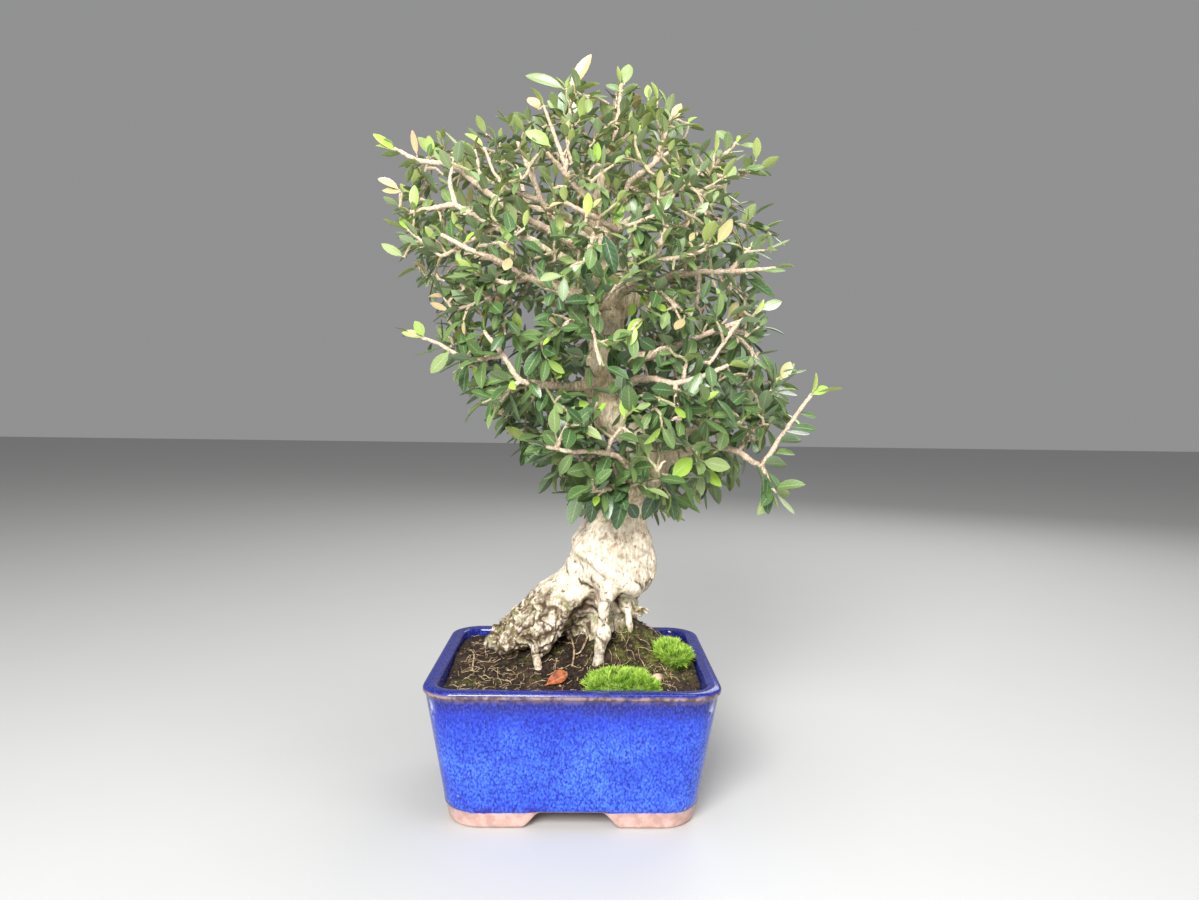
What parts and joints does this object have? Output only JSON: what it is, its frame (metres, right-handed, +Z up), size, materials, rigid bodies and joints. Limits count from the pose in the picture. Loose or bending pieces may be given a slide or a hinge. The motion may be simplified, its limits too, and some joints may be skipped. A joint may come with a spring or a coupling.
{
  "type": "olive bonsai",
  "caption": "Small-leaved olive bonsai with a flared root base and a leafy crown, planted in a blue glazed rectangular pot on shaped feet.",
  "frame": {"origin": "on the table, under the middle of the whole plant's outline as seen from above", "axes": "+Z up, +X to the right and +Y away from the viewer, seen from the pot's long front side"},
  "size_m": [0.239, 0.1744, 0.3922],
  "materials": {
    "glaze": "glossy cobalt glaze",
    "soil": "granular soil",
    "bark": "pale fissured bark",
    "foliage": "living leaves, glossy above and matt below, on pale twigs",
    "moss": "cushion moss",
    "pebble": "matt",
    "cut_root": "bare cut wood",
    "dry_leaf": "dry and matt",
    "screen": "matt"
  },
  "bodies": {
    "root": {"branch_back_centre": "foliage", "branch_back_left": "foliage", "branch_back_low": "foliage", "branch_back_low_left": "foliage", "branch_back_low_right": "foliage", "branch_back_middle": "foliage", "branch_back_right": "foliage", "branch_back_top": "foliage", "branch_back_top_left": "foliage", "branch_back_top_right": "foliage", "branch_front_centre": "foliage", "branch_front_hanging": "foliage", "branch_front_low": "foliage", "branch_front_right": "foliage", "branch_front_top": "foliage", "branch_left_bare": "foliage", "branch_left_front": "foliage", "branch_left_middle": "foliage", "branch_left_shoulder": "foliage", "branch_left_top": "foliage", "branch_right_front": "foliage", "branch_right_low": "foliage", "branch_right_middle": "foliage", "branch_right_shoulder": "foliage", "branch_right_top": "foliage", "branch_right_upper": "foliage", "branch_top": "foliage", "branch_top_left": "foliage", "drain_screen_left": "screen", "drain_screen_right": "screen", "fallen_leaf": "dry_leaf", "moss_front": "moss", "moss_right": "moss", "pebble": "pebble", "pot": "glaze", "root_stub": "cut_root", "soil": "soil", "trunk": "bark"}
  },
  "joints": []
}
